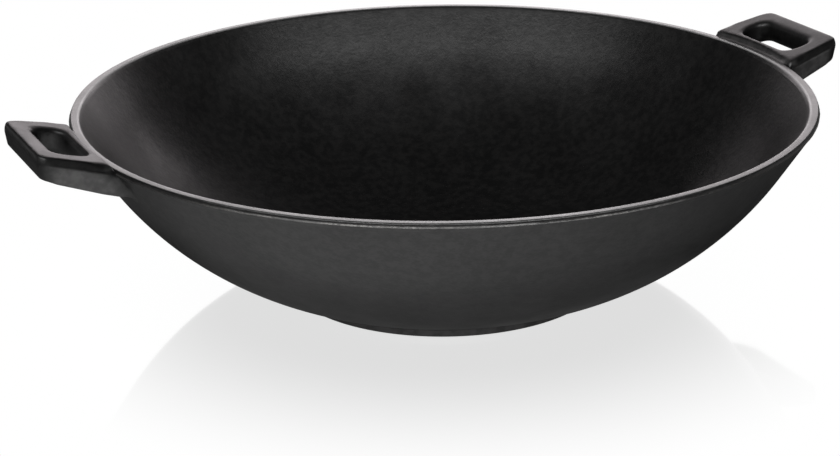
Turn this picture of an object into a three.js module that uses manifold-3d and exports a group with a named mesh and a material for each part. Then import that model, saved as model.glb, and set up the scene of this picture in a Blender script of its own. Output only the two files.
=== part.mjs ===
// Cast iron wok with a flat foot, a flat-topped lip and a loop handle on each side.
// Millimetres, Z up. The origin is the centre of the foot's underside, and the handles lie along X.

import * as THREE from 'three';
import { mergeVertices } from 'three/addons/utils/BufferGeometryUtils.js';
import Module from 'manifold-3d';

const DEGREE = Math.PI / 180;

// Bowl and lip. The mould line is where the two halves of the casting mould met.
const RIM_RADIUS = 180;
const RIM_HEIGHT = 93.6;
const LIP_HEIGHT = 2;
const LIP_OVERHANG = 0.2;
const LIP_OUTER_ROUND = 1.6;
const LIP_INNER_ROUND = 1.1;
const WALL_SLOPE = 57.4 * DEGREE;
const WALL_THICKNESS = 5.2;
const BEND_START_HEIGHT = 70.5;
const FLOOR_THICKNESS = 4.4;

// Foot
const FOOT_RADIUS = 78.1;
const FOOT_HEIGHT = 5.1;
const FOOT_DRAFT = 0.4;
const FOOT_EDGE_ROUND = 1.4;

// Handles. Lengths run outwards from the lip, and rises are above the lip's flat top.
const HANDLE_LENGTH = 29.6;
const HANDLE_TIP_WIDTH = 61.6;
const HANDLE_ROOT_WIDTH = 70;
const HANDLE_CORNER_ROUND = 5.5;
const HANDLE_TIP_RISE = 10.4;
const HANDLE_UPPER_DEPTH = 3.8;
const HANDLE_LOWER_DEPTH = 6.9;
const HANDLE_TOP_SLOPE = 13.5 * DEGREE;
const HANDLE_MOULD_SLOPE = 14.5 * DEGREE;
const HANDLE_UNDER_SLOPE = 19 * DEGREE;
const HANDLE_EDGE_ROUND = 1.9;
const MOULD_LINE_WIDTH = 0.7;

// Finger slot, by the width of the bars that frame it
const SLOT_INNER_BAR = 3.9;
const SLOT_END_BAR = 9.8;
const SLOT_SIDE_BAR = 8.9;
const SLOT_CORNER_RADIUS = 7;

// Gap between the handle roots and the bowl
const CASTING_GAP = 0.3;

// Faceting
const TURN_STEPS = 96;
const BEND_STEPS = 14;
const ROUND_STEPS = 3;
const HANDLE_CURVE_STEPS = 4;
const HANDLE_EDGE_STEPS = 4;
const MERGE_DISTANCE = 1e-4;

const mouldHeight = RIM_HEIGHT - LIP_HEIGHT;
const footTopRadius = FOOT_RADIUS + FOOT_DRAFT;
const floorHeight = FOOT_HEIGHT + FLOOR_THICKNESS;
const wallTopRadius = RIM_RADIUS - LIP_OVERHANG;

const wasm = await Module();
wasm.setup();

const castIron = () => new THREE.MeshStandardMaterial({ color: 0x2e2d2d, roughness: 0.5, metalness: 0.35 });

function named(name, geometry) {
  const mesh = new THREE.Mesh(geometry, castIron());
  mesh.name = name;
  return mesh;
}

function toSolid(geometry) {
  const bare = geometry.clone();
  bare.deleteAttribute('normal');
  bare.deleteAttribute('uv');
  const merged = mergeVertices(bare, MERGE_DISTANCE);
  const vertProperties = Float32Array.from(merged.attributes.position.array);
  const triVerts = Uint32Array.from(merged.index.array);
  return new wasm.Manifold(new wasm.Mesh({ numProp: 3, vertProperties, triVerts }));
}

function toGeometry(solid) {
  const mesh = solid.getMesh();
  const geometry = new THREE.BufferGeometry();
  geometry.setAttribute('position', new THREE.BufferAttribute(mesh.vertProperties, 3));
  geometry.setIndex(new THREE.BufferAttribute(mesh.triVerts, 1));
  geometry.computeVertexNormals();
  return geometry;
}

// A profile is a list of points (radius, height), turned about the wok's upright axis.
function turned(profile) {
  return new THREE.LatheGeometry(profile, TURN_STEPS).rotateX(Math.PI / 2);
}

const at = (radius, height) => new THREE.Vector2(radius, height);

// Points of an arc, with both ends, by the angle from the outward direction.
function arc(centre, radius, fromAngle, toAngle, steps) {
  const points = [];
  for (let i = 0; i <= steps; i += 1) {
    const angle = fromAngle + ((toAngle - fromAngle) * i) / steps;
    points.push(at(centre.x + radius * Math.cos(angle), centre.y + radius * Math.sin(angle)));
  }
  return points;
}

// A corner rounded by a curve that leaves each side at the same distance from the corner.
function rounded(before, corner, after, distance) {
  const start = corner.clone().add(before.clone().sub(corner).setLength(distance));
  const end = corner.clone().add(after.clone().sub(corner).setLength(distance));
  return new THREE.QuadraticBezierCurve(start, corner, end).getPoints(ROUND_STEPS);
}

// The wall runs straight down from the mould line, then bends in to meet the foot's top edge.
const upWall = at(Math.cos(WALL_SLOPE), Math.sin(WALL_SLOPE));
const intoBowl = at(-upWall.y, upWall.x);
const straightDrop = mouldHeight - BEND_START_HEIGHT;
const bendStart = at(wallTopRadius - straightDrop / Math.tan(WALL_SLOPE), BEND_START_HEIGHT);
const footCorner = at(footTopRadius, FOOT_HEIGHT);
const bendChord = footCorner.clone().sub(bendStart);
const outerBendRadius = bendChord.lengthSq() / (2 * bendChord.dot(intoBowl));
const outerBendCentre = bendStart.clone().addScaledVector(intoBowl, outerBendRadius);
const bendEndAngle = WALL_SLOPE - Math.PI / 2;

// Outside of the wall from the foot up to the given height, moved out by a clearance.
function outsideWall(clearance, topHeight) {
  const reach = footCorner.clone().sub(outerBendCentre);
  const footAngle = Math.atan2(reach.y, reach.x);
  const bend = arc(outerBendCentre, outerBendRadius + clearance, footAngle, bendEndAngle, BEND_STEPS);
  const wallEnd = bend[bend.length - 1];
  const topRadius = wallEnd.x + (topHeight - wallEnd.y) / Math.tan(WALL_SLOPE);
  return [...bend, at(topRadius, topHeight)];
}

// Inside of the wall at a height on its straight stretch.
function insideRadius(height) {
  const outside = wallTopRadius + (height - mouldHeight) / Math.tan(WALL_SLOPE);
  return outside - WALL_THICKNESS / Math.sin(WALL_SLOPE);
}

// The inside bend leaves the wall level with the outside one and runs out flat on the floor.
function insideBend() {
  const start = bendStart.clone().addScaledVector(intoBowl, WALL_THICKNESS);
  const radius = (start.y - floorHeight) / (1 - Math.cos(WALL_SLOPE));
  const centre = start.clone().addScaledVector(intoBowl, radius);
  return arc(centre, radius, bendEndAngle, -Math.PI / 2, BEND_STEPS);
}

function bowlGeometry() {
  return turned([
    at(0, FOOT_HEIGHT),
    ...outsideWall(0, mouldHeight),
    at(insideRadius(mouldHeight), mouldHeight),
    ...insideBend(),
    at(0, floorHeight),
  ]);
}

function rimGeometry() {
  const underInner = at(insideRadius(mouldHeight), mouldHeight);
  const underOuter = at(RIM_RADIUS, mouldHeight);
  const topOuter = at(RIM_RADIUS, RIM_HEIGHT);
  const topInner = at(insideRadius(RIM_HEIGHT), RIM_HEIGHT);
  return turned([
    underInner,
    underOuter,
    ...rounded(underOuter, topOuter, topInner, LIP_OUTER_ROUND),
    ...rounded(topOuter, topInner, underInner, LIP_INNER_ROUND),
    underInner,
  ]);
}

function footGeometry() {
  const centre = at(0, 0);
  const lowEdge = at(FOOT_RADIUS, 0);
  return turned([
    centre,
    ...rounded(centre, lowEdge, footCorner, FOOT_EDGE_ROUND),
    footCorner,
    at(0, FOOT_HEIGHT),
  ]);
}

// Plan of a handle, seen from above, with the wok's axis at the plan's origin.
const handleTip = RIM_RADIUS + HANDLE_LENGTH;
const handleRoot = wallTopRadius - HANDLE_LENGTH;
const slotInner = RIM_RADIUS + SLOT_INNER_BAR;
const slotOuter = handleTip - SLOT_END_BAR;
const slotHalfWidth = HANDLE_TIP_WIDTH / 2 - SLOT_SIDE_BAR;

function slotPath() {
  const innerCorner = slotInner + SLOT_CORNER_RADIUS;
  const outerCorner = slotOuter - SLOT_CORNER_RADIUS;
  const side = slotHalfWidth - SLOT_CORNER_RADIUS;
  const corners = [[outerCorner, side], [innerCorner, side], [innerCorner, -side], [outerCorner, -side]];
  const path = new THREE.Path();
  corners.forEach(([x, y], quarter) => {
    const start = (quarter * Math.PI) / 2;
    path.absarc(x, y, SLOT_CORNER_RADIUS, start, start + Math.PI / 2, false);
  });
  return path;
}

function handlePlan() {
  const tipHalf = HANDLE_TIP_WIDTH / 2;
  const rootHalf = HANDLE_ROOT_WIDTH / 2;
  const taper = (rootHalf - tipHalf) / HANDLE_LENGTH;
  const widthAt = (x) => tipHalf + (handleTip - x) * taper;
  const cornerStart = handleTip - HANDLE_CORNER_ROUND;
  const cornerEnd = tipHalf - HANDLE_CORNER_ROUND;
  const plan = new THREE.Shape();
  plan.moveTo(handleRoot, -widthAt(handleRoot));
  plan.lineTo(cornerStart, -widthAt(cornerStart));
  plan.quadraticCurveTo(handleTip, -tipHalf, handleTip, -cornerEnd);
  plan.lineTo(handleTip, cornerEnd);
  plan.quadraticCurveTo(handleTip, tipHalf, cornerStart, widthAt(cornerStart));
  plan.lineTo(handleRoot, widthAt(handleRoot));
  plan.holes.push(slotPath());
  return plan;
}

// The plan is raised with rounded edges of unit height, which are then drawn out to the real depths
// above and below the mould line. Top, mould line and underside each rise outwards at their own slope.
function handleBlank() {
  const blank = new THREE.ExtrudeGeometry(handlePlan(), {
    depth: MOULD_LINE_WIDTH,
    bevelEnabled: true,
    bevelThickness: 1,
    bevelSize: HANDLE_EDGE_ROUND,
    bevelOffset: -HANDLE_EDGE_ROUND,
    bevelSegments: HANDLE_EDGE_STEPS,
    curveSegments: HANDLE_CURVE_STEPS,
  });
  const tipTop = RIM_HEIGHT + HANDLE_TIP_RISE;
  const tipMouldTop = tipTop - HANDLE_UPPER_DEPTH;
  const tipUnder = tipMouldTop - MOULD_LINE_WIDTH - HANDLE_LOWER_DEPTH;
  const points = blank.attributes.position;
  for (let i = 0; i < points.count; i += 1) {
    const inwards = handleTip - points.getX(i);
    const level = points.getZ(i);
    const top = tipTop - inwards * Math.tan(HANDLE_TOP_SLOPE);
    const mouldTop = tipMouldTop - inwards * Math.tan(HANDLE_MOULD_SLOPE);
    const mouldUnder = mouldTop - MOULD_LINE_WIDTH;
    const under = tipUnder - inwards * Math.tan(HANDLE_UNDER_SLOPE);
    const above = Math.max(level - MOULD_LINE_WIDTH, 0) * (top - mouldTop);
    const below = Math.max(-level, 0) * (mouldUnder - under);
    const across = Math.min(Math.max(level, 0), MOULD_LINE_WIDTH);
    points.setZ(i, mouldUnder + across + above - below);
  }
  return blank;
}

// The space that the handle leaves free: the bowl with its lip, and all that stands above the lip.
function bowlClearance() {
  const lipUnder = mouldHeight - CASTING_GAP;
  const lipOuter = RIM_RADIUS + CASTING_GAP;
  const aboveHandle = RIM_HEIGHT + 2 * HANDLE_TIP_RISE;
  return toSolid(turned([
    at(0, FOOT_HEIGHT),
    ...outsideWall(CASTING_GAP, lipUnder),
    at(lipOuter, lipUnder),
    at(lipOuter, aboveHandle),
    at(0, aboveHandle),
  ]));
}

function handleGeometry() {
  return toGeometry(toSolid(handleBlank()).subtract(bowlClearance()));
}

const wok = new THREE.Group();
wok.add(named('bowl', bowlGeometry()));
wok.add(named('rim', rimGeometry()));
wok.add(named('foot', footGeometry()));

const rightHandle = named('right_handle', handleGeometry());
const leftHandle = named('left_handle', rightHandle.geometry.clone());
leftHandle.rotation.z = Math.PI;
wok.add(rightHandle, leftHandle);

export default wok;
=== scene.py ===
"""Cast iron wok with a flat foot, a flat-topped rim and two loop handles, in black seasoned iron."""

import math
from typing import NamedTuple

import bmesh
import bpy
from bpy.props import FloatProperty, FloatVectorProperty, IntProperty, PointerProperty
from bpy.types import Operator, Panel, PropertyGroup
from mathutils import Matrix, Vector


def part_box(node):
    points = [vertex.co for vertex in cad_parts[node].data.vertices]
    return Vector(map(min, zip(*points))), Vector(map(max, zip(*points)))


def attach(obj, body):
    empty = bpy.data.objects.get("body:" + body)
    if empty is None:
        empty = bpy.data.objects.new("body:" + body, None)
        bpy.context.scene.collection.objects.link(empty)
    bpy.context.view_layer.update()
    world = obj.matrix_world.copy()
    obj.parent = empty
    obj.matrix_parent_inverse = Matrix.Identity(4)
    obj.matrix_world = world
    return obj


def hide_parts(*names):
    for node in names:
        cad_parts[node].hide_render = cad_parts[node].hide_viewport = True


bl_info = {
    "name": "Cast Iron Wok",
    "version": (1, 0, 0),
    "blender": (4, 5, 0),
    "location": "3D View > Sidebar > Wok",
    "description": "Models a seasoned cast iron wok on its frame and sets up a plain white studio",
    "category": "Object",
}

# The frame that the pieces are fitted to, in metres
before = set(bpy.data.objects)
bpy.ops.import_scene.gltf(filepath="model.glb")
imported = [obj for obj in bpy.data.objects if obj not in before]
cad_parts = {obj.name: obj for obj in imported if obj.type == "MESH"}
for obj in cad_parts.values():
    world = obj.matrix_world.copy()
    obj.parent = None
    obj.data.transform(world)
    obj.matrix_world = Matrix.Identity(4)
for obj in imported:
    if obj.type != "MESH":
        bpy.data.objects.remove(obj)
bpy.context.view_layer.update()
RIM_LOW, RIM_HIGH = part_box("rim")
FOOT_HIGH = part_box("foot")[1]
BOWL_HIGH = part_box("bowl")[1]
HANDLE_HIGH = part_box("right_handle")[1]

MM = 0.001

# Pieces, and the groups of them that lights are kept to
BODY = ("wok_bowl", "wok_foot")
VESSEL = (*BODY, "wok_rim")
HANDLES = ("handle_right", "handle_left")
PIECES = (*VESSEL, *HANDLES)
FLOOR = "studio_floor"
LIT_GROUPS = {
    "iron_pieces": PIECES,
    "ground": (FLOOR,),
    "vessel": VESSEL,
    "right_side": (*VESSEL, "handle_right"),
    "body": BODY,
    "trim": ("wok_rim", *HANDLES),
    "rim": ("wok_rim",),
    "foot": ("wok_foot",),
}

# The iron, and the point attributes that it reads
IRON_NAME = "black_seasoned_iron"
WEAR = "wear"
# The grey skin mark is partly real unoiled iron and partly painted light: it lightens the foot, the handles'
# lower sides and the step beside the rim, in place of light that they catch
GREY_SKIN_AND_PAINTED_LIGHT = "dull"
HALF_GREY_SKIN_AND_LIGHT = 0.45

# Changes of the finish with a noise: the noise's low and high value, then the finish at each
THIN_OIL = (0.35, 0.68, 0.0, 1.0)
SPARED_EDGE = (0.38, 0.6, 0.35, 1.0)
BARE_GRAIN = (0.35, 0.6, 0.3, 1.0)
# Blotches of the grey skin mark, which is partly painted light
SKIN_AND_LIGHT_BLOTCHES = (0.3, 0.65, 0.55, 1.0)
GLOSS = (0.75, 1.25, 0.455, 0.545)
FILM_SPAN = (0.3, 0.7)

# Faces along the sections and around the rounded edges
BEND_STEPS = 40
WALL_STEPS = 6
LIP_INNER_STEPS = 7
CROWN_STEPS = 6
LIP_OUTER_STEPS = 8
LIP_SIDE_STEPS = 2
LEDGE_STEPS = 4
UNDERSIDE_STEPS = 8
FILLET_STEPS = 10
EDGE_STEPS = 6
UNDER_EDGE_STEPS = 4
CORNER_STEPS = 8
FLARE_STEPS = 6

# How far the slot is cut past its flares, and how near two heights count as one
FLARE_PAST = 2.0 * MM
SAME_PLACE = 0.01 * MM

# Least share of a flat face's normal that points up or down
FLAT = 0.8

# Angles up to which edges between faces are shaded smooth, in degrees
SMOOTH_ANGLES = {"bowl": 30.0, "rim": 35.0, "foot": 40.0, "right_handle": 60.0, "left_handle": 60.0}

# Spans around the rim's ledge and the skirt under it, as shares of the ledge's height
LEDGE_ROUGH = (0.4, 1.2)
LEDGE_WORN = (0.3, 0.8)
SKIRT = 3.0

# Sizes of the two noises that make the ledge uneven
LEDGE_GRAIN = 2.5 * MM
LEDGE_RUN = 25.0 * MM

# Spans over which the handles' rounds and finishes fade, in metres or as shares of a handle's width
ROOT_REACH = (4.0 * MM, 9.0 * MM)
ROOT_TOP = (-1.0 * MM, 1.5 * MM)
ROOT_TOP_SHARE = 0.8
ROOT_SIDES = (38.0 * MM, 43.0 * MM)
CORNER_SIDES = (0.34, 0.46)
CORNER_REACH = (4.0 * MM, 12.0 * MM)
CORNER_HEIGHT = (-1.5 * MM, 1.0 * MM)
TIP_START = 9.0 * MM
TIP_FULL = 4.0 * MM
TIP_SIDES = (0.44, 0.53)
TIP_HEIGHT = (-2.0 * MM, 1.0 * MM)
LEDGE_REACH = (1.0 * MM, 5.0 * MM)
LEDGE_HEIGHT = (-0.5 * MM, 0.5 * MM)
LEDGE_SIDES = (0.42, 0.46)
# Reach of the grey skin on the handles' lower sides, which is partly painted light
SKIN_AND_LIGHT_REACH = (1.0 * MM, 6.5 * MM)
STEP_REACH = (2.0 * MM, 6.0 * MM)
STEP_HEIGHT = (-0.3 * MM, 0.7 * MM)
STEP_DEPTH = (0.5 * MM, 1.5 * MM)

# Passes of smoothing on the handles
SMOOTH_FACTOR = 0.5
CORNER_PASSES = 130
ROOT_PASSES = 150
TIP_PASSES = 90
EDGE_PASSES = 8

# The floor. Its finish changes with the distance from the foot's middle, and its far glow along a ray
FLOOR_RADIUS = 4.0
FLOOR_GAP = 0.05 * MM
FLOOR_SHADE = (0.09, 0.2, 0.97, 1.0)
MIRROR = (0.11, 0.235, 0.25, 0.0)
MIRROR_ROUGHNESS = 0.05
FOOT_GLOW = (0.1, 0.16, 0.11, 0.0)
FAR_GLOW = (0.6, 1.8, 0.0, 0.5)

# Brightness of the walls and the ceiling, by the sine of the elevation
WALLS = (0.05, 0.2, 0.2, 0.04)

# Width of the camera's sensor, in millimetres
SENSOR_WIDTH = 36.0

WHITE = (1.0, 1.0, 1.0)
WARM = (1.0, 0.93, 0.95)


class Softbox(NamedTuple):
    """A soft light: its place from the camera's side, its size and brightness, and what it lights."""

    name: str
    turn: float
    elevation: float
    distance: float
    width: float
    height: float
    brightness: float
    lit: str
    tint: tuple = WHITE
    aim_distance: float = 0.0
    spread: float = 180.0
    lights_matt: bool = True


# Name, turn, elevation, distance, width, height, brightness and lit group
SOFTBOXES = (
    Softbox("front_softbox_left", -42.0, 39.0, 1.13, 0.86, 0.30, 4.7, "iron_pieces"),
    Softbox("front_softbox_middle", 0.0, 39.0, 1.13, 0.86, 0.30, 4.7, "right_side"),
    Softbox("front_softbox_right", 42.0, 39.0, 1.13, 0.86, 0.30, 4.7, "vessel"),
    Softbox("back_softbox", 172.0, 17.0, 1.6, 1.36, 0.40, 2.0, "body", WARM),
    Softbox("back_left_softbox", 158.0, 27.0, 1.6, 0.4, 0.36, 0.6, "body", WARM),
    Softbox("back_right_softbox", 201.0, 19.0, 1.6, 0.36, 0.26, 1.1, "body", WARM),
    Softbox("trim_softbox", 178.0, 17.0, 1.6, 1.7, 0.44, 2.5, "trim", WARM),
    Softbox("rim_strip", 180.0, 24.0, 1.6, 0.50, 0.20, 3.2, "rim"),
    Softbox("rim_top_softbox", 175.0, 54.0, 1.6, 1.8, 1.2, 1.4, "rim"),
    Softbox("foot_softbox", 0.0, 14.0, 0.8, 1.0, 0.34, 2.6, "foot"),
    Softbox("trim_top_softbox", 170.0, 46.0, 1.6, 1.6, 1.2, 0.65, "trim", WARM),
    Softbox("floor_softbox", -10.0, 48.0, 0.55, 0.34, 0.24, 3.0, "ground", aim_distance=0.36, spread=104.0),
    Softbox("backdrop_light", 180.0, 24.0, 2.2, 3.0, 1.5, 1.0, "ground", lights_matt=False),
)


def length(name, description, default):
    """A size in metres that the sidebar shows as a distance."""
    return FloatProperty(name=name, description=description, default=default, subtype="DISTANCE",
                         unit="LENGTH")


def angle(name, description, degrees):
    """An angle that is written in degrees and kept in radians."""
    return FloatProperty(name=name, description=description, default=math.radians(degrees), subtype="ANGLE")


def share(name, description, default):
    """A plain number, most often from 0 to 1."""
    return FloatProperty(name=name, description=description, default=default)


def colour(name, description, default):
    """A linear colour."""
    return FloatVectorProperty(name=name, description=description, default=default, subtype="COLOR", size=3)


class WokBowlSizes(PropertyGroup):
    """Sizes of the bowl, its rim and its foot."""

    rim_radius: length("Rim radius", "Outer radius of the rim", RIM_HIGH.x)
    rim_height: length("Rim height", "Height of the rim's top", RIM_HIGH.z)
    mould_height: length("Mould line height", "Height of the line where the mould halves met", RIM_LOW.z)
    wall_top_radius: length("Wall top radius", "Outer radius of the wall at the mould line", BOWL_HIGH.x)
    foot_radius: length("Foot radius", "Radius of the foot's top edge", FOOT_HIGH.x)
    foot_height: length("Foot height", "Height of the foot", FOOT_HIGH.z)
    wall_slope: angle("Wall slope", "Slope of the straight upper wall", 57.4)
    wall_thickness: length("Wall thickness", "Thickness of the wall", 4.8 * MM)
    bend_start: length("Bend start", "Height at which the wall starts to bend in", 70.5 * MM)
    floor_thickness: length("Floor thickness", "Thickness of the floor over the foot", 4.4 * MM)
    lip_inner_round: length("Lip inner round", "Rounding of the rim's inner edge", 1.9 * MM)
    lip_outer_round: length("Lip outer round", "Rounding of the rim's outer edge", 0.8 * MM)
    crown_round: length("Crown round", "Radius of the rim's slightly crowned top", 33.4 * MM)
    crown_slope: angle("Crown slope", "Slope of the crown where the rounded edges begin", 2.0)
    lip_draft: angle("Lip draft", "How far the rim's outer side leans in above the mould line", 16.0)
    ledge_width: length("Ledge width", "How far the lower mould half stands out at the mould line", 0.38 * MM)
    ledge_drop: length("Ledge drop", "Height of the ledge's slanting face", 0.62 * MM)
    ledge_unevenness: length("Ledge unevenness", "How much the ledge varies along the rim", 0.3 * MM)
    foot_edge_round: length("Foot edge round", "Rounding of the foot's lower edge", 0.5 * MM)
    foot_fillet: length("Foot fillet", "Rounding between the foot and the wall", 3.2 * MM)
    foot_draft: length("Foot draft", "How much the foot narrows downwards", 0.2 * MM)
    turn_steps: IntProperty(name="Turn steps", description="Faces around the bowl", default=360)
    rim_steps: IntProperty(name="Rim steps", description="Faces around the rim", default=1080)


class WokHandleSizes(PropertyGroup):
    """Sizes of a handle. Heights are above the rim's top, and slopes rise outwards."""

    reach: length("Reach", "Distance from the wok's axis to the handle's tip", HANDLE_HIGH.x)
    tip_rise: length("Tip rise", "Height of the tip above the rim", 10.4 * MM)
    tip_width: length("Tip width", "Width across the tip", 61.6 * MM)
    root_width: length("Root width", "Width where the handle meets the rim", 70.0 * MM)
    corner_round: length("Corner round", "Rounding of the tip's corners, seen from above", 4.2 * MM)
    upper_depth: length("Upper depth", "Depth above the mould line, at the tip", 3.8 * MM)
    lower_depth: length("Lower depth", "Depth below the mould line, at the tip", 7.6 * MM)
    top_slope: angle("Top slope", "Slope of the top", 13.5)
    mould_slope: angle("Mould line slope", "Slope of the mould line", 14.5)
    under_slope: angle("Underside slope", "Slope of the underside", 19.0)
    top_round: length("Top round", "Rounding of the top's outer edge", 0.7 * MM)
    under_round: length("Underside round", "Rounding of the underside's outer edge", 0.8 * MM)
    top_draft: length("Top draft", "How far the sides lean in above the mould line", 0.9 * MM)
    tip_draft: length("Tip draft", "How far the tip leans in above the mould line", 0.8 * MM)
    ledge: length("Ledge", "How far the lower half stands out at the mould line", 0.4 * MM)
    under_draft: length("Underside draft", "How far the sides lean in below the mould line", 1.0 * MM)
    slot_inner: length("Slot inner bar", "Width of the bar between rim and slot", 3.9 * MM)
    slot_end: length("Slot end bar", "Width of the bar between slot and tip", 9.8 * MM)
    slot_side: length("Slot side bar", "Width of the bars beside the slot", 8.9 * MM)
    slot_corner: length("Slot corner", "Rounding of the slot's corners", 6.6 * MM)
    slot_top_round: length("Slot top round", "Rounding of the slot's upper edge", 2.6 * MM)
    slot_under_round: length("Slot underside round", "Rounding of the slot's lower edge", 4.8 * MM)
    step_gap: length("Step gap", "Distance from the rim's edge to the step that rises beside it", 0.4 * MM)
    skin: length("Skin", "Spacing of the casting's surface points", 0.42 * MM)


class WokIronFinish(PropertyGroup):
    """Colours and gloss of the seasoned iron."""

    dark: colour("Dark iron", "Seasoned iron where the oil coat is thick", (0.0018, 0.0018, 0.0019))
    light: colour("Light iron", "Seasoned iron where the oil coat is thin", (0.0060, 0.0057, 0.0056))
    worn: colour("Worn edge", "Bare iron on the rim's rubbed ledge", (0.10, 0.097, 0.094))
    # Colour of the grey skin: partly real unoiled iron, partly painted light that lightens the foot, the
    # handles' lower sides and the step
    dull: colour("Dull iron", "Grey skin on the foot and on the handles' sides", (0.125, 0.123, 0.123))
    smooth: share("Smooth", "Roughness of the oiled film", 0.34)
    rough: share("Rough", "Roughness of the bare grain", 0.42)
    rubbed: share("Rubbed", "Share of the roughness left on the rim and on top of the handles", 0.85)
    coarse: share("Coarse", "Roughness of the handles, as a share of the rim's", 1.35)
    coarse_rise: length("Coarse rise", "Height over the rim by which the handles are coarse", 3.0 * MM)
    dull_roughness: share("Dull roughness", "Roughness that the grey skin adds", 0.2)
    refraction: share("Refraction", "Index of refraction of the oil film", 1.6)
    patches: length("Patches", "Size of the oil film's patches", 26.0 * MM)
    spared_run: length("Spared run", "Size of the ledge's spared stretches", 45.0 * MM)
    grain: length("Grain", "Size of the mould sand's grains", 1.5 * MM)
    lumps: length("Lumps", "Size of the casting's soft lumps", 4.0 * MM)
    grain_depth: length("Grain depth", "Depth of the grain", 0.065 * MM)
    rubbed_relief: share("Rubbed relief", "Share of the grain left on the rim and on top of the handles", 0.5)


class WokStage(PropertyGroup):
    """Camera and floor."""

    camera_distance: length("Camera distance", "From the middle of the rim to the camera", 1.0311)
    camera_azimuth: angle("Camera azimuth", "Turn of the camera about the wok, from the front", -25.437)
    camera_elevation: angle("Camera elevation", "Height of the camera over the rim's plane", 16.78)
    camera_down: angle("Camera tilt", "How far the camera looks down", 20.337)
    camera_aside: angle("Camera pan", "How far the camera looks aside of the axis", 0.7183)
    camera_roll: angle("Camera roll", "How far the camera leans", -0.8842)
    focal_length: share("Focal length", "Lens, in millimetres on a 36 mm wide sensor", 90.835)
    floor_colour: colour("Floor", "Colour of the studio floor", (0.95, 0.95, 0.95))


def deselect_all():
    """Leaves nothing selected in object mode."""
    if bpy.context.mode != "OBJECT":
        bpy.ops.object.mode_set(mode="OBJECT")
    bpy.ops.object.select_all(action="DESELECT")


def make_active(piece):
    """Selects one object alone."""
    deselect_all()
    piece.select_set(True)
    bpy.context.view_layer.objects.active = piece


def select_points(test):
    """Selects, in edit mode, the points whose place passes the test, and the faces between them."""
    bpy.ops.mesh.select_mode(type="VERT")
    bpy.ops.mesh.select_all(action="DESELECT")
    mesh = bmesh.from_edit_mesh(bpy.context.object.data)
    for point in mesh.verts:
        if test(point.co):
            point.select_set(True)
    mesh.select_flush(True)
    bmesh.update_edit_mesh(bpy.context.object.data)


def close_mesh():
    """Merges doubled points and turns all faces outwards, in edit mode."""
    bpy.ops.mesh.select_all(action="SELECT")
    bpy.ops.mesh.remove_doubles(threshold=0.001 * MM)
    bpy.ops.mesh.normals_make_consistent(inside=False)


def apply_modifier(piece, kind, name, **settings):
    """Adds a modifier with its settings and applies it."""
    make_active(piece)
    modifier = piece.modifiers.new(name, kind)
    for key, value in settings.items():
        setattr(modifier, key, value)
    bpy.ops.object.modifier_apply(modifier=modifier.name)


def cut_away(piece, cutter):
    """Cuts one object's space out of another, and deletes the cutter."""
    apply_modifier(piece, "BOOLEAN", "Cut", object=cutter, operation="DIFFERENCE", solver="MANIFOLD")
    make_active(cutter)
    bpy.ops.object.delete()


def weigh_points(piece, name, weight):
    """A vertex group whose weight is a function of the point's place."""
    group = piece.vertex_groups.new(name=name)
    for point in piece.data.vertices:
        value = weight(point.co)
        if value > 0.0:
            group.add([point.index], min(value, 1.0), "REPLACE")
    return group.name


def mark_points(piece, name, weight):
    """Notes on each point, as an attribute, how far the iron has a finish of its own there, such as worn bare
    iron and a grey skin that is partly painted light.
    """
    mark = piece.data.attributes.new(name, "FLOAT", "POINT")
    mark.data.foreach_set("value", [weight(point.co) for point in piece.data.vertices])


def ease(low, high, value):
    """0 up to low, 1 from high, and a smooth change between them."""
    t = min(max((value - low) / (high - low), 0.0), 1.0)
    return t * t * (3.0 - 2.0 * t)


def fade(span, value, unit=1.0):
    """The change from 0 to 1 over a named span, which is given in metres or as shares of a unit."""
    return ease(span[0] * unit, span[1] * unit, value)


def ring_distance(place, ring):
    """Distance from a place to a ring about the wok's axis, given as (radius, height)."""
    return (Vector((math.hypot(place.x, place.y), place.z)) - ring).length


def clouds(name, size, depth):
    """A soft noise for Displace modifiers."""
    texture = bpy.data.textures.new(name, type="CLOUDS")
    texture.noise_scale = size
    texture.noise_depth = depth
    return texture


class ProfilePen:
    """Draws half a section in the XZ plane, point by point, and turns it about the wok's axis."""

    def __init__(self, name, radius, height):
        deselect_all()
        bpy.ops.mesh.primitive_plane_add(size=MM)
        self.piece = bpy.context.object
        self.piece.name = name
        bpy.ops.object.mode_set(mode="EDIT")
        bpy.ops.mesh.merge(type="CENTER")
        bpy.ops.transform.translate(value=(radius, 0.0, height))
        self.end = Vector((radius, height))
        self.heading = 0.0

    def line_to(self, radius, height, steps=1):
        """A straight run to a place."""
        step = (Vector((radius, height)) - self.end) / steps
        for _ in range(steps):
            bpy.ops.mesh.extrude_vertices_move(TRANSFORM_OT_translate={"value": (step.x, 0.0, step.y)})
        self.end = Vector((radius, height))
        self.heading = math.atan2(step.y, step.x)

    def arc(self, centre, turn, steps):
        """A round run about a centre, by an angle that is positive from outwards to upwards."""
        middle = (centre.x, 0.0, centre.y)
        bpy.ops.mesh.spin(steps=steps, angle=turn, center=middle, axis=(0, 1, 0), use_auto_merge=False)
        arm = self.end - centre
        arm.rotate(Matrix.Rotation(turn, 2))
        self.end = centre + arm
        self.heading += turn

    def bend(self, radius, turn, steps):
        """A round run that carries on from the last one without a corner, to the left for a positive turn."""
        left = Vector((-math.sin(self.heading), math.cos(self.heading)))
        self.arc(self.end + left * math.copysign(radius, turn), turn, steps)

    def turned(self, steps):
        """The finished ring or bowl, in object mode."""
        bpy.ops.mesh.select_all(action="SELECT")
        bpy.ops.mesh.spin(steps=steps, angle=2.0 * math.pi, center=(0, 0, 0), axis=(0, 0, 1))
        close_mesh()
        bpy.ops.object.mode_set(mode="OBJECT")
        return self.piece


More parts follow.
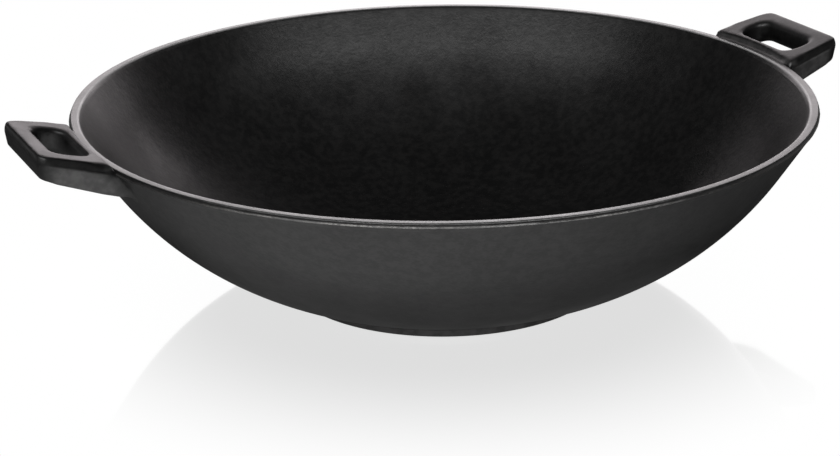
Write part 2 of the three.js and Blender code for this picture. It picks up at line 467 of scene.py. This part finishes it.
class WallSection:
    """The wall's straight upper stretch and its two bends, as centres and radii in (radius, height)."""

    def __init__(self, sizes):
        self.slope = sizes.wall_slope
        self.thickness = sizes.wall_thickness
        inwards = Vector((-math.sin(self.slope), math.cos(self.slope)))
        self.top = Vector((sizes.wall_top_radius, sizes.mould_height))
        drop = sizes.mould_height - sizes.bend_start
        bend_start = Vector((self.top.x - drop / math.tan(self.slope), sizes.bend_start))
        self.foot = Vector((sizes.foot_radius, sizes.foot_height))
        chord = self.foot - bend_start
        self.outer_radius = chord.length_squared / (2.0 * chord.dot(inwards))
        self.outer_centre = bend_start + inwards * self.outer_radius
        self.floor_height = sizes.foot_height + sizes.floor_thickness
        self.inner_start = bend_start + inwards * self.thickness
        inner_radius = (self.inner_start.y - self.floor_height) / (1.0 - math.cos(self.slope))
        self.inner_centre = self.inner_start + inwards * inner_radius

    def outside(self, height, depth=0.0):
        """Radius of the straight outside at a height, or of a surface that lies some depth under it."""
        along = (height - self.top.y) / math.tan(self.slope)
        return self.top.x + along - depth / math.sin(self.slope)

    def inside(self, height):
        """Radius of the straight inside at a height."""
        return self.outside(height, self.thickness)

    def foot_angle(self):
        """Direction from the outer bend's centre to the foot's top edge."""
        arm = self.foot - self.outer_centre
        return math.atan2(arm.y, arm.x)


class LoopStack:
    """Stacks flat outlines, each with its own slope, into a closed block. All slopes turn about the tip."""

    def __init__(self, name, inner, outer, half_width, tip, height, slope):
        self.tip = tip
        self.first_height = height
        self.first_slope = slope
        self.middle = (inner + outer) / 2.0
        self.half_length = (outer - inner) / 2.0
        self.half_width = half_width
        self.height = height
        self.slope = 0.0
        self.outset = 0.0
        self.end_outset = 0.0
        deselect_all()
        bpy.ops.mesh.primitive_plane_add(size=2.0)
        self.piece = bpy.context.object
        self.piece.name = name
        bpy.ops.object.mode_set(mode="EDIT")
        bpy.ops.transform.resize(value=(self.half_length, half_width, 1.0))
        bpy.ops.transform.translate(value=(self.middle, 0.0, height))

    def widen_root(self, half_width):
        """Sets the half width at the inner end."""
        select_points(lambda place: place.x < self.middle)
        bpy.ops.transform.resize(value=(1.0, half_width / self.half_width, 1.0), center_override=(0, 0, 0))

    def round_corners(self, distance, segments, test):
        """Rounds the outline's corners that pass the test, then tilts the outline to its first slope."""
        select_points(test)
        bpy.ops.mesh.bevel(offset=distance, segments=segments, affect="VERTICES")
        bpy.ops.mesh.select_all(action="SELECT")
        self.tilt(self.first_slope)

    def tilt(self, slope):
        """Turns the selected outline about the tip to a new slope, and keeps its plan."""
        pivot = (self.tip, 0.0, self.height)
        bpy.ops.transform.rotate(value=slope - self.slope, orient_axis="Y", center_override=pivot)
        keep = math.cos(self.slope) / math.cos(slope)
        bpy.ops.transform.resize(value=(keep, 1.0, keep), center_override=pivot)
        self.slope = slope

    def next(self, height, slope, outset=0.0, end_outset=None):
        """Extrudes the outline to a height at the tip and a slope, its plan grown from the first one."""
        step = (0.0, 0.0, height - self.height)
        bpy.ops.mesh.extrude_region_move(TRANSFORM_OT_translate={"value": step})
        self.height = height
        self.tilt(slope)
        end_outset = outset if end_outset is None else end_outset
        along = (self.half_length + end_outset) / (self.half_length + self.end_outset)
        across = (self.half_width + outset) / (self.half_width + self.outset)
        centre = (self.middle, 0.0, height - (self.tip - self.middle) * math.tan(slope))
        bpy.ops.transform.resize(value=(along, across, along), center_override=centre)
        self.outset = outset
        self.end_outset = end_outset

    def flare(self, rounding, way):
        """Draws the end out in a round flare and on past it, upwards for a way of 1, downwards for -1."""
        start = self.height
        slope = self.slope
        for i in range(1, FLARE_STEPS + 1):
            turn = math.pi / 2.0 * i / FLARE_STEPS
            self.next(start + way * rounding * math.sin(turn), slope, rounding * (1.0 - math.cos(turn)))
        self.next(start + way * (rounding + FLARE_PAST), slope, rounding)

    def go_back(self):
        """Selects the first outline again, so that the next one goes on from there."""
        rise = math.tan(self.first_slope)
        select_points(lambda p: abs(p.z + (self.tip - p.x) * rise - self.first_height) < SAME_PLACE)
        self.height = self.first_height
        self.slope = self.first_slope
        self.outset = 0.0
        self.end_outset = 0.0

    def block(self):
        """The finished block, in object mode."""
        close_mesh()
        bpy.ops.object.mode_set(mode="OBJECT")
        return self.piece


class NodeSheet:
    """Adds nodes to a node tree. An input is given as a plain value, or as a socket to link it to."""

    def __init__(self, owner):
        owner.use_nodes = True
        self.tree = owner.node_tree
        self.place = self.add("ShaderNodeTexCoord")

    def add(self, kind, inputs=None, **settings):
        """A new node with its settings and inputs."""
        node = self.tree.nodes.new(kind)
        for key, value in settings.items():
            setattr(node, key, value)
        self.fill(node, inputs or {})
        return node

    def fill(self, node, inputs):
        """Sets or links a node's inputs."""
        for key, value in inputs.items():
            if isinstance(value, bpy.types.NodeSocket):
                self.tree.links.new(value, node.inputs[key])
            else:
                node.inputs[key].default_value = value

    def math(self, operation, first, second):
        """Two numbers joined by an operation."""
        return self.add("ShaderNodeMath", {0: first, 1: second}, operation=operation).outputs["Value"]

    def change(self, value, low, high, start, end):
        """A number that goes smoothly from start to end while the value goes from low to high."""
        inputs = {"Value": value, "From Min": low, "From Max": high, "To Min": start, "To Max": end}
        return self.add("ShaderNodeMapRange", inputs, interpolation_type="SMOOTHSTEP").outputs["Result"]

    def blend(self, share_of_second, first, second):
        """Two colours mixed."""
        inputs = {"Factor": share_of_second, "A": first, "B": second}
        return self.add("ShaderNodeMix", inputs, data_type="RGBA").outputs["Result"]

    def attribute(self, name):
        """A number that each point of the mesh carries."""
        return self.add("ShaderNodeAttribute", attribute_name=name).outputs["Fac"]

    def noise(self, size, detail):
        """A noise on the object's own coordinates, with blotches of about a size."""
        inputs = {"Vector": self.place.outputs["Object"], "Scale": 1.0 / size, "Detail": detail}
        return self.add("ShaderNodeTexNoise", inputs).outputs["Fac"]


def make_iron(sizes, finish):
    """Black seasoned cast iron: mould grain, patches of thicker oil, a worn ledge, and a grey skin that is
    partly painted light, lightening the foot, the handles' lower sides and the step beside the rim.
    """
    material = bpy.data.materials.new(IRON_NAME)
    sheet = NodeSheet(material)
    patches = sheet.noise(finish.patches, detail=4.0)
    grain = sheet.noise(finish.grain, detail=2.0)
    lumps = sheet.noise(finish.lumps, detail=2.0)
    stretches = sheet.noise(finish.spared_run, detail=2.0)
    oil = sheet.blend(sheet.change(lumps, *THIN_OIL), (*finish.dark, 1.0), (*finish.light, 1.0))
    bare = sheet.math("MULTIPLY", sheet.attribute(WEAR), sheet.change(stretches, *SPARED_EDGE))
    bare = sheet.math("MULTIPLY", bare, sheet.change(grain, *BARE_GRAIN))
    # The grey skin share: partly real unoiled iron, partly painted light that lightens the foot, the handles'
    # lower sides and the step
    grey_skin_and_light_share = sheet.math("MULTIPLY", sheet.attribute(GREY_SKIN_AND_PAINTED_LIGHT), sheet.change(lumps, *SKIN_AND_LIGHT_BLOTCHES))
    skin = sheet.blend(grey_skin_and_light_share, oil, (*finish.dull, 1.0))
    paint = sheet.blend(bare, skin, (*finish.worn, 1.0))
    film = sheet.math("ADD", sheet.change(patches, *FILM_SPAN, finish.rough, finish.smooth),
                      sheet.math("MULTIPLY", grey_skin_and_light_share, finish.dull_roughness))
    height = sheet.add("ShaderNodeSeparateXYZ", {"Vector": sheet.place.outputs["Object"]}).outputs["Z"]
    mould_line = (sizes.mould_height - MM, sizes.mould_height + MM)
    over_rim = (sizes.rim_height, sizes.rim_height + finish.coarse_rise)
    handled = sheet.math("MULTIPLY", sheet.change(height, *mould_line, 1.0, finish.rubbed),
                         sheet.change(height, *over_rim, 1.0, finish.coarse))
    relief = sheet.math("ADD", grain, lumps)
    bump = sheet.add("ShaderNodeBump", {
        "Height": relief,
        "Strength": sheet.change(height, *mould_line, 1.0, finish.rubbed_relief),
        "Distance": finish.grain_depth,
    })
    sheet.fill(sheet.tree.nodes["Principled BSDF"], {
        "Base Color": paint,
        "Metallic": bare,
        "Roughness": sheet.math("MULTIPLY", film, handled),
        "Normal": bump.outputs["Normal"],
        "IOR": finish.refraction,
        "Specular IOR Level": sheet.change(relief, *GLOSS),
    })
    return material


def iron(scene):
    """The one iron material, made at its first use."""
    return bpy.data.materials.get(IRON_NAME) or make_iron(scene.wok_bowl, scene.wok_iron)


def finish_piece(piece, node):
    """Gives a piece its shading, its iron, and its place on the frame."""
    make_active(piece)
    bpy.ops.object.shade_smooth_by_angle(angle=math.radians(SMOOTH_ANGLES[node]))
    piece.data.materials.clear()
    piece.data.materials.append(iron(bpy.context.scene))
    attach(piece, "root")
    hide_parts(node)


class WOK_OT_make_bowl(Operator):
    """Turn the bowl's wall and floor from its section"""

    bl_idname = "wok.make_bowl"
    bl_label = "Bowl"

    def execute(self, context):
        sizes = context.scene.wok_bowl
        wall = WallSection(sizes)
        pen = ProfilePen("wok_bowl", 0.0, sizes.foot_height)
        pen.line_to(wall.foot.x, wall.foot.y)
        pen.arc(wall.outer_centre, wall.slope - math.pi / 2.0 - wall.foot_angle(), BEND_STEPS)
        pen.line_to(wall.top.x, wall.top.y, WALL_STEPS)
        pen.line_to(wall.inside(wall.top.y), wall.top.y)
        pen.line_to(wall.inner_start.x, wall.inner_start.y, WALL_STEPS)
        pen.arc(wall.inner_centre, -wall.slope, BEND_STEPS)
        pen.line_to(0.0, wall.floor_height, WALL_STEPS)
        finish_piece(pen.turned(sizes.turn_steps), "bowl")
        return {"FINISHED"}


class WOK_OT_make_rim(Operator):
    """Turn the rim, with its slightly crowned top and the uneven ledge of the mould line"""

    bl_idname = "wok.make_rim"
    bl_label = "Rim"

    def execute(self, context):
        sizes = context.scene.wok_bowl
        wall = WallSection(sizes)
        slope = sizes.crown_slope
        inner_rise = sizes.lip_inner_round * (math.cos(slope) - math.cos(wall.slope))
        crown_rise = sizes.crown_round * (1.0 - math.cos(slope))
        inner_top = sizes.rim_height - inner_rise - crown_rise
        pen = ProfilePen("wok_rim", wall.inside(wall.top.y), wall.top.y)
        pen.line_to(wall.inside(inner_top), inner_top, LIP_SIDE_STEPS)
        pen.bend(sizes.lip_inner_round, slope - wall.slope, LIP_INNER_STEPS)
        pen.bend(sizes.crown_round, -2.0 * slope, CROWN_STEPS)
        pen.bend(sizes.lip_outer_round, slope + sizes.lip_draft - math.pi / 2.0, LIP_OUTER_STEPS)
        drop = sizes.ledge_drop
        nose = Vector((sizes.rim_radius, wall.top.y))
        ledge = Vector((nose.x - sizes.ledge_width, wall.top.y + drop))
        pen.line_to(ledge.x, ledge.y, LIP_SIDE_STEPS)
        pen.line_to(nose.x, nose.y, LEDGE_STEPS)
        skirt = nose.y - SKIRT * drop
        pen.line_to(wall.outside(skirt), skirt, LEDGE_STEPS)
        pen.line_to(wall.outside(skirt, wall.thickness / 2.0), skirt)
        pen.line_to(wall.outside(wall.top.y, wall.thickness / 2.0), wall.top.y)
        pen.line_to(wall.inside(wall.top.y), wall.top.y)
        piece = pen.turned(sizes.rim_steps)
        edge = weigh_points(piece, "ledge", lambda p: 1.0 - fade(LEDGE_ROUGH, ring_distance(p, nose), drop))
        for texture in (clouds("ledge_grain", LEDGE_GRAIN, depth=2), clouds("ledge_run", LEDGE_RUN, depth=1)):
            apply_modifier(piece, "DISPLACE", "Uneven ledge", texture=texture, texture_coords="LOCAL",
                           direction="NORMAL", strength=sizes.ledge_unevenness, mid_level=0.5,
                           vertex_group=edge)
        middle = (nose + ledge) / 2.0
        mark_points(piece, WEAR, lambda p: 1.0 - fade(LEDGE_WORN, ring_distance(p, middle), drop))
        finish_piece(piece, "rim")
        return {"FINISHED"}


class WOK_OT_make_foot(Operator):
    """Turn the flat foot, with a fillet up to the wall"""

    bl_idname = "wok.make_foot"
    bl_label = "Foot"

    def execute(self, context):
        sizes = context.scene.wok_bowl
        wall = WallSection(sizes)
        low_radius = sizes.foot_radius - sizes.foot_draft
        edge = sizes.foot_edge_round
        pen = ProfilePen("wok_foot", 0.0, 0.0)
        pen.line_to(low_radius - edge, 0.0, UNDERSIDE_STEPS)
        pen.arc(Vector((low_radius - edge, edge)), math.pi / 2.0, EDGE_STEPS)
        side = Vector((sizes.foot_draft, sizes.foot_height - edge)).normalized()
        turn = wall.foot_angle() + math.pi / 2.0 - math.atan2(side.y, side.x)
        cut_back = sizes.foot_fillet * math.tan(-turn / 2.0)
        start = wall.foot - side * cut_back
        pen.line_to(start.x, start.y)
        pen.bend(sizes.foot_fillet, turn, FILLET_STEPS)
        along = wall.foot_angle() + 2.0 * cut_back / wall.outer_radius
        sink = 0.3 * MM
        arm = Vector((math.cos(along), math.sin(along))) * (wall.outer_radius - sink)
        sunk = wall.outer_centre + arm
        pen.line_to(sunk.x, sunk.y)
        pen.line_to(sizes.foot_radius - MM, sizes.foot_height)
        pen.line_to(0.0, sizes.foot_height)
        piece = pen.turned(sizes.turn_steps)
        # Half the grey skin over the whole foot, partly painted light that lightens its side
        mark_points(piece, GREY_SKIN_AND_PAINTED_LIGHT, lambda p: HALF_GREY_SKIN_AND_LIGHT)
        finish_piece(piece, "foot")
        return {"FINISHED"}


class WOK_OT_make_handles(Operator):
    """Model one loop handle with its roots and copy it to the other side"""

    bl_idname = "wok.make_handles"
    bl_label = "Handles"

    def execute(self, context):
        bowl = context.scene.wok_bowl
        sizes = context.scene.wok_handle
        wall = WallSection(bowl)
        right = self.blank(bowl, sizes)
        cut_away(right, self.slot(bowl, sizes))
        cut_away(right, self.bowl_space(bowl, sizes, wall))
        stubs = [self.wall_stub(bowl, wall), self.rim_stub(bowl, sizes)]
        make_active(right)
        for stub in stubs:
            stub.select_set(True)
        bpy.ops.object.join()
        apply_modifier(right, "REMESH", "Casting skin", mode="VOXEL", voxel_size=sizes.skin)
        self.soften(right, "corners", CORNER_PASSES, lambda p: self.corner_weight(p, bowl, sizes))
        self.soften(right, "roots", ROOT_PASSES, lambda p: self.root_weight(p, bowl, wall))
        self.soften(right, "tip", TIP_PASSES, lambda p: self.tip_weight(p, bowl, sizes))
        apply_modifier(right, "SMOOTH", "Soft edges", factor=SMOOTH_FACTOR, iterations=EDGE_PASSES)
        lower_half = weigh_points(right, "lower_half",
                                  lambda p: self.ledge_weight(p, bowl, sizes, wall, LEDGE_REACH))
        apply_modifier(right, "DISPLACE", "Mould ledge", strength=sizes.ledge, mid_level=0.0,
                       vertex_group=lower_half)
        # Grey skin on the handles' lower sides and on the step beside the rim, partly painted light that
        # lightens them
        mark_points(right, GREY_SKIN_AND_PAINTED_LIGHT, lambda p: max(self.ledge_weight(p, bowl, sizes, wall, SKIN_AND_LIGHT_REACH),
                                               HALF_GREY_SKIN_AND_LIGHT * self.step_weight(p, bowl, sizes)))
        right.name = "handle_right"
        make_active(right)
        bpy.ops.object.duplicate()
        left = bpy.context.object
        left.name = "handle_left"
        left.rotation_euler.z = math.pi
        bpy.ops.object.transform_apply(location=False, rotation=True, scale=False)
        for piece, node in ((right, "right_handle"), (left, "left_handle")):
            finish_piece(piece, node)
        return {"FINISHED"}

    def soften(self, piece, name, passes, weight):
        """Smooths the points that a weight picks out."""
        group = weigh_points(piece, name, weight)
        apply_modifier(piece, "SMOOTH", name, factor=SMOOTH_FACTOR, iterations=passes, vertex_group=group)

    def blank(self, bowl, sizes):
        """The solid handle, with its rounded outer edges, running some way into the bowl."""
        tip_top = bowl.rim_height + sizes.tip_rise
        overrun = 30.0 * MM
        root = bowl.rim_radius - overrun
        half_tip = sizes.tip_width / 2.0
        half_root = half_tip + (sizes.root_width - sizes.tip_width) / 2.0 * (sizes.reach - root) / (
            sizes.reach - bowl.rim_radius)
        mould = tip_top - sizes.upper_depth
        under = mould - sizes.lower_depth
        stack = LoopStack("handle_right", root, sizes.reach - sizes.tip_draft,
                          half_tip - sizes.top_draft, sizes.reach, tip_top, sizes.top_slope)
        stack.widen_root(half_root - sizes.top_draft)
        stack.round_corners(sizes.corner_round, CORNER_STEPS, lambda place: place.x > stack.middle)
        stack.next(mould, sizes.mould_slope, sizes.top_draft, sizes.tip_draft)
        stack.next(under, sizes.under_slope, sizes.top_draft - sizes.under_draft,
                   sizes.tip_draft - sizes.under_draft)
        piece = stack.block()
        self.round_edge(piece, sizes.top_round, EDGE_STEPS, lambda normal: normal.z > FLAT)
        self.round_edge(piece, sizes.under_round, UNDER_EDGE_STEPS, lambda normal: normal.z < -FLAT)
        return piece

    def round_edge(self, piece, distance, segments, faces_up):
        """Rounds the edge of the flat faces whose normal passes the test."""
        make_active(piece)
        bpy.ops.object.mode_set(mode="EDIT")
        bpy.ops.mesh.select_mode(type="FACE")
        bpy.ops.mesh.select_all(action="DESELECT")
        mesh = bmesh.from_edit_mesh(piece.data)
        for face in mesh.faces:
            face.select_set(faces_up(face.normal))
        bmesh.update_edit_mesh(piece.data)
        bpy.ops.mesh.region_to_loop()
        bpy.ops.mesh.bevel(offset=distance, segments=segments, affect="EDGES")
        bpy.ops.object.mode_set(mode="OBJECT")

    def slot(self, bowl, sizes):
        """The space of the finger slot, flared at both ends so that its edges come out round."""
        tip_top = bowl.rim_height + sizes.tip_rise
        tip_under = tip_top - sizes.upper_depth - sizes.lower_depth
        inner = bowl.rim_radius + sizes.slot_inner
        outer = sizes.reach - sizes.slot_end
        half_width = sizes.tip_width / 2.0 - sizes.slot_side
        start = tip_under + sizes.slot_under_round
        stack = LoopStack("slot", inner, outer, half_width, sizes.reach, start, sizes.under_slope)
        stack.round_corners(sizes.slot_corner, CORNER_STEPS, lambda place: True)
        stack.next(tip_top - sizes.slot_top_round, sizes.top_slope)
        stack.flare(sizes.slot_top_round, 1.0)
        stack.go_back()
        stack.flare(sizes.slot_under_round, -1.0)
        return stack.block()

    def bowl_space(self, bowl, sizes, wall):
        """The space that the handle leaves to the bowl: inside its wall, and above its rim."""
        depth = 1.5 * MM
        lap = 0.3 * MM
        low = bowl.bend_start
        high = bowl.rim_height + 2.0 * sizes.tip_rise
        step = bowl.rim_radius + sizes.step_gap
        pen = ProfilePen("bowl_space", 0.0, low)
        pen.line_to(wall.outside(low, depth), low)
        pen.line_to(wall.outside(bowl.mould_height, depth), bowl.mould_height)
        pen.line_to(step, bowl.rim_height - lap)
        pen.line_to(step, high)
        pen.line_to(0.0, high)
        return pen.turned(bowl.turn_steps)

    def wall_stub(self, bowl, wall):
        """A piece of the wall just under its surface, from which the root fillets rise."""
        sink = 0.08 * MM
        depth = 3.0 * MM
        half_width = 46.0 * MM
        low = bowl.mould_height - 20.0 * MM
        high = bowl.mould_height - 0.2 * MM
        corners = ((low, sink), (high, sink), (high, depth), (low, depth))
        corners = [(wall.outside(height, under), height) for height, under in corners]
        return self.stub("wall_stub", bowl, corners, half_width)

    def rim_stub(self, bowl, sizes):
        """A piece of the rim just under its surface, from which the step's fillet rises."""
        sink = 0.2 * MM
        width = 3.2 * MM
        low = bowl.mould_height
        high = bowl.rim_height - sink
        outer = bowl.rim_radius + sizes.step_gap
        corners = [(outer - width, low), (outer, low), (outer, high), (outer - width, high)]
        return self.stub("rim_stub", bowl, corners, sizes.tip_width / 2.0)

    def stub(self, name, bowl, corners, half_width):
        """A ring turned from a closed outline, cut down to the part behind the right handle."""
        pen = ProfilePen(name, *corners[0])
        for corner in (*corners[1:], corners[0]):
            pen.line_to(*corner)
        ring = pen.turned(bowl.turn_steps)
        make_active(ring)
        bpy.ops.object.mode_set(mode="EDIT")
        cuts = [((bowl.rim_radius / 2.0, 0, 0), (-1, 0, 0)),
                ((0, half_width, 0), (0, 1, 0)),
                ((0, -half_width, 0), (0, -1, 0))]
        for place, normal in cuts:
            bpy.ops.mesh.select_all(action="SELECT")
            bpy.ops.mesh.bisect(plane_co=place, plane_no=normal, use_fill=True, clear_outer=True)
        close_mesh()
        bpy.ops.object.mode_set(mode="OBJECT")
        return ring

    def root_weight(self, place, bowl, wall):
        """1 close to the bowl's wall and 0 some way out, so that only the roots get large fillets."""
        away = fade(ROOT_REACH, self.wall_distance(place, bowl, wall))
        above = fade(ROOT_TOP, place.z - bowl.rim_height)
        border = fade(ROOT_SIDES, abs(place.y))
        return (1.0 - away) * (1.0 - ROOT_TOP_SHARE * above) * (1.0 - border)

    def corner_weight(self, place, bowl, sizes):
        """1 at the two upper corners beside the rim, which come down to it in a round ramp."""
        aside = fade(CORNER_SIDES, abs(place.y), sizes.root_width)
        away = fade(CORNER_REACH, math.hypot(place.x, place.y) - bowl.rim_radius)
        above = fade(CORNER_HEIGHT, place.z - bowl.rim_height)
        return aside * (1.0 - away) * above

    def tip_weight(self, place, bowl, sizes):
        """1 along the tip's upper edge, which is rounded for the hand, and less at its corners."""
        aside = fade(TIP_SIDES, abs(place.y), sizes.tip_width)
        above = fade(TIP_HEIGHT, place.z - self.mould_line(place, bowl, sizes))
        return (1.0 - aside) * self.tip_share(place, sizes) * above

    def ledge_weight(self, place, bowl, sizes, wall, reach):
        """1 on the sides below the mould line, and 0 above it, around the tip and on the wall."""
        free = fade(reach, self.wall_distance(place, bowl, wall))
        below = fade(LEDGE_HEIGHT, self.mould_line(place, bowl, sizes) - place.z)
        aside = fade(LEDGE_SIDES, abs(place.y), sizes.tip_width)
        return free * below * aside * (1.0 - self.tip_share(place, sizes))

    def step_weight(self, place, bowl, sizes):
        """1 on the step that rises beside the rim, and 0 on the handle's top."""
        top = bowl.rim_height + sizes.tip_rise - (sizes.reach - place.x) * math.tan(sizes.top_slope)
        away = fade(STEP_REACH, math.hypot(place.x, place.y) - bowl.rim_radius)
        above = fade(STEP_HEIGHT, place.z - bowl.rim_height)
        return (1.0 - away) * above * fade(STEP_DEPTH, top - place.z)

    def tip_share(self, place, sizes):
        """0 on the handle's sides and 1 at its tip."""
        return ease(sizes.reach - TIP_START, sizes.reach - TIP_FULL, place.x)

    def wall_distance(self, place, bowl, wall):
        """How far a place lies outside the bowl's wall and rim."""
        low = min(place.z, bowl.mould_height)
        return (math.hypot(place.x, place.y) - wall.outside(low)) * math.sin(wall.slope)

    def mould_line(self, place, bowl, sizes):
        """Height of the mould line at a place."""
        tip = bowl.rim_height + sizes.tip_rise - sizes.upper_depth
        return tip - (sizes.reach - place.x) * math.tan(sizes.mould_slope)


class WOK_OT_set_stage(Operator):
    """Set up the floor, the lights, the surroundings and the camera"""

    bl_idname = "wok.set_stage"
    bl_label = "Stage"

    def execute(self, context):
        stage = context.scene.wok_stage
        self.floor(stage)
        self.surroundings(context.scene)
        groups = {name: self.lit_group(name, members) for name, members in LIT_GROUPS.items()}
        for box in SOFTBOXES:
            self.softbox(stage, box, groups[box.lit])
        self.camera(context.scene, stage)
        context.scene.view_settings.view_transform = "Standard"
        return {"FINISHED"}

    def floor(self, stage):
        """A white floor that mirrors the wok faintly and fades that mirror away from it."""
        deselect_all()
        bpy.ops.mesh.primitive_circle_add(vertices=128, radius=FLOOR_RADIUS, fill_type="NGON",
                                          location=(0.0, 0.0, -FLOOR_GAP))
        floor = bpy.context.object
        floor.name = FLOOR
        material = bpy.data.materials.new(FLOOR)
        sheet = NodeSheet(material)
        nodes = sheet.tree.nodes
        nodes.remove(nodes["Principled BSDF"])
        rays = sheet.add("ShaderNodeLightPath").outputs
        place = sheet.place.outputs["Object"]
        radius = sheet.add("ShaderNodeVectorMath", {0: place}, operation="LENGTH").outputs["Value"]
        far_off = sheet.change(rays["Ray Length"], *FAR_GLOW)
        near_foot = sheet.change(radius, *FOOT_GLOW)
        mirrored = sheet.math("MULTIPLY", rays["Is Glossy Ray"], sheet.math("MAXIMUM", far_off, near_foot))
        seen = sheet.math("MAXIMUM", rays["Is Camera Ray"], rays["Is Transmission Ray"])
        seen = sheet.math("MAXIMUM", seen, mirrored)
        white = sheet.math("MULTIPLY", seen, sheet.change(radius, *FLOOR_SHADE))
        paint = sheet.add("ShaderNodeBsdfDiffuse", {"Color": (*stage.floor_colour, 1.0)})
        glow = sheet.add("ShaderNodeEmission", {"Color": (*WHITE, 1.0)})
        mirror = sheet.add("ShaderNodeBsdfGlossy", {"Color": (*WHITE, 1.0), "Roughness": MIRROR_ROUGHNESS})
        matt = sheet.add("ShaderNodeMixShader", {
            "Fac": white, 1: paint.outputs["BSDF"], 2: glow.outputs["Emission"]})
        faint = sheet.math("MULTIPLY", rays["Is Camera Ray"], sheet.change(radius, *MIRROR))
        polished = sheet.add("ShaderNodeMixShader", {
            "Fac": faint, 1: matt.outputs["Shader"], 2: mirror.outputs["BSDF"]})
        sheet.fill(nodes["Material Output"], {"Surface": polished.outputs["Shader"]})
        floor.data.materials.append(material)

    def surroundings(self, scene):
        """Pale walls all round and a darker ceiling, on a background that the camera sees as white."""
        world = bpy.data.worlds.new("white_studio")
        scene.world = world
        sheet = NodeSheet(world)
        up = sheet.add("ShaderNodeSeparateXYZ", {"Vector": sheet.place.outputs["Generated"]}).outputs["Z"]
        walls = sheet.change(up, *WALLS)
        rays = sheet.add("ShaderNodeLightPath").outputs
        sheet.fill(sheet.tree.nodes["Background"], {
            "Color": (*WHITE, 1.0),
            "Strength": sheet.math("MAXIMUM", walls, rays["Is Camera Ray"]),
        })

    def lit_group(self, name, members):
        """A collection that a light can be kept to."""
        group = bpy.data.collections.new(name)
        for member in members:
            group.objects.link(bpy.data.objects[member])
        return group

    def towards(self, stage, turn, elevation, distance):
        """A place at a turn from the camera's side and at an elevation, as seen from the wok's foot."""
        rise = math.radians(elevation)
        around = stage.camera_azimuth + math.radians(turn)
        level = Vector((math.sin(around), -math.cos(around), 0.0)) * math.cos(rise)
        return (level + Vector((0.0, 0.0, math.sin(rise)))) * distance

    def softbox(self, stage, box, lit):
        """A soft light of an even brightness that lights one group of objects."""
        lamp = bpy.data.lights.new(box.name, "AREA")
        lamp.shape = "RECTANGLE"
        lamp.size = box.width
        lamp.size_y = box.height
        lamp.energy = box.brightness * math.pi * box.width * box.height
        lamp.color = box.tint
        lamp.spread = math.radians(box.spread)
        place = self.towards(stage, box.turn, box.elevation, box.distance)
        aim = self.towards(stage, box.turn, 0.0, box.aim_distance)
        holder = bpy.data.objects.new(box.name, lamp)
        holder.location = place
        holder.rotation_euler = (aim - place).to_track_quat("-Z", "Y").to_euler()
        holder.visible_camera = False
        holder.visible_diffuse = box.lights_matt
        bpy.context.scene.collection.objects.link(holder)
        holder.light_linking.receiver_collection = lit

    def camera(self, scene, stage):
        """The camera at the photograph's angle."""
        lens = bpy.data.cameras.new("photo_camera")
        lens.sensor_width = SENSOR_WIDTH
        lens.lens = stage.focal_length
        camera = bpy.data.objects.new("photo_camera", lens)
        scene.collection.objects.link(camera)
        sizes = scene.wok_bowl
        back = stage.camera_distance * math.cos(stage.camera_elevation)
        rise = stage.camera_distance * math.sin(stage.camera_elevation)
        place = Vector((math.sin(stage.camera_azimuth) * back, -math.cos(stage.camera_azimuth) * back,
                        sizes.rim_height + rise))
        turn = Matrix.Rotation(stage.camera_azimuth + stage.camera_aside, 4, "Z")
        down = Matrix.Rotation(math.pi / 2.0 - stage.camera_down, 4, "X")
        roll = Matrix.Rotation(stage.camera_roll, 4, "Z")
        camera.matrix_world = Matrix.Translation(place) @ turn @ down @ roll
        scene.camera = camera


class WOK_PT_sidebar(Panel):
    """The wok's steps, in order"""

    bl_idname = "WOK_PT_sidebar"
    bl_label = "Cast Iron Wok"
    bl_space_type = "VIEW_3D"
    bl_region_type = "UI"
    bl_category = "Wok"

    def draw(self, context):
        column = self.layout.column(align=True)
        for step in STEPS:
            column.operator(step.bl_idname)


STEPS = (WOK_OT_make_bowl, WOK_OT_make_rim, WOK_OT_make_foot, WOK_OT_make_handles, WOK_OT_set_stage)
GROUPS = {
    "wok_bowl": WokBowlSizes,
    "wok_handle": WokHandleSizes,
    "wok_iron": WokIronFinish,
    "wok_stage": WokStage,
}
CLASSES = (*GROUPS.values(), *STEPS, WOK_PT_sidebar)


def register():
    """Adds the wok's classes and its settings to Blender."""
    for kind in CLASSES:
        bpy.utils.register_class(kind)
    for name, group in GROUPS.items():
        setattr(bpy.types.Scene, name, PointerProperty(type=group))


def unregister():
    """Takes the wok's classes and settings out again."""
    for name in GROUPS:
        delattr(bpy.types.Scene, name)
    for kind in reversed(CLASSES):
        bpy.utils.unregister_class(kind)


def main():
    """Makes every piece and the stage."""
    register()
    bpy.ops.wok.make_bowl()
    bpy.ops.wok.make_rim()
    bpy.ops.wok.make_foot()
    bpy.ops.wok.make_handles()
    bpy.ops.wok.set_stage()


if __name__ == "__main__":
    main()
